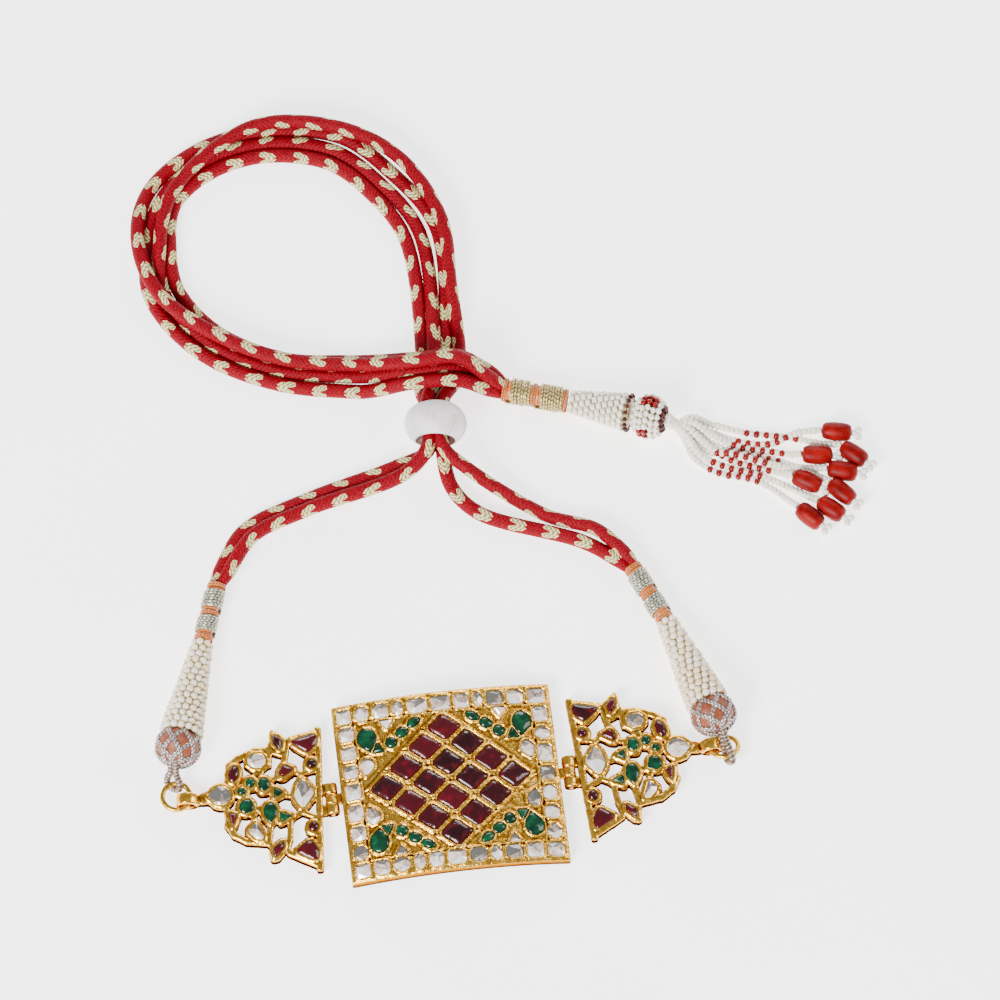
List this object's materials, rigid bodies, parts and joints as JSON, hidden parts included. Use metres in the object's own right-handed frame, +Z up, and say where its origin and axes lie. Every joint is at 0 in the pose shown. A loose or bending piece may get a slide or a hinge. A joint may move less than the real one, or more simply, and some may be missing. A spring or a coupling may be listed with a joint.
{
  "type": "bajuband armlet",
  "caption": "Jewelled upper arm band: an arched gold panel between hinged pierced wings, tied by braided silk cords with a slide bead and a beaded tassel.",
  "frame": {"origin": "under the middle of the centre panel, on the surface that the armlet lies on", "axes": "+X along the gold strip towards the tassel's side, +Y from the strip towards the cords, +Z up out of the jewelled face"},
  "size_m": [0.1732, 0.1901, 0.0148],
  "materials": {
    "gold": "hand pressed high carat gold foil, softly polished",
    "ruby": "deep wine red cushion cut stone, glossy",
    "emerald": "deep green smooth stone, glossy",
    "diamond": "flat cut foiled diamond, grey pink with bright facets",
    "enamel": "plain grey green enamel",
    "silk_cord": "braided crimson silk with pale gold flecks",
    "orange_thread": "wound terracotta orange thread",
    "silver_thread": "wound silver thread",
    "gold_thread": "wound pale gold thread",
    "loop_thread": "wound brown and silver thread",
    "pearl": "strung cream seed pearls",
    "seed_bead": "white and red glass seed beads",
    "floss": "wound pale lilac white floss",
    "coral": "polished coral red beads"
  },
  "bodies": {
    "root": {"centre_panel": "gold", "centre_rubies": "ruby", "centre_emeralds": "emerald", "border_diamonds": "diamond", "corner_diamonds": "diamond", "centre_enamel": "enamel", "left_wing": "gold", "right_wing": "gold", "left_wing_rubies": "ruby", "right_wing_rubies": "ruby", "left_wing_emeralds": "emerald", "right_wing_emeralds": "emerald", "left_wing_diamonds": "diamond", "right_wing_diamonds": "diamond", "left_wing_enamel": "enamel", "right_wing_enamel": "enamel", "left_hinge_pin": "gold", "right_hinge_pin": "gold", "left_ring": "gold", "right_ring": "gold", "left_thread_loop": "loop_thread", "right_thread_loop": "loop_thread", "left_knot_ball": "orange_thread", "right_knot_ball": "orange_thread", "left_pearl_sleeve": "pearl", "right_pearl_sleeve": "pearl", "left_binding": "orange_thread", "right_binding": "orange_thread", "left_silver_lower": "silver_thread", "left_silver_upper": "silver_thread", "right_silver_lower": "silver_thread", "right_silver_upper": "silver_thread", "left_cord_1": "silk_cord", "left_cord_2": "silk_cord", "right_cord_1": "silk_cord", "right_cord_2": "silk_cord", "slide_bead": "floss", "end_binding": "orange_thread", "end_gold_first": "gold_thread", "end_gold_second": "gold_thread", "end_bead_cone": "seed_bead", "end_bead_ball": "seed_bead", "tassel": "seed_bead", "coral_bead_1": "coral", "coral_bead_2": "coral", "coral_bead_3": "coral", "coral_bead_4": "coral", "coral_bead_5": "coral", "coral_bead_6": "coral", "coral_bead_7": "coral", "coral_bead_8": "coral"}
  },
  "joints": []
}
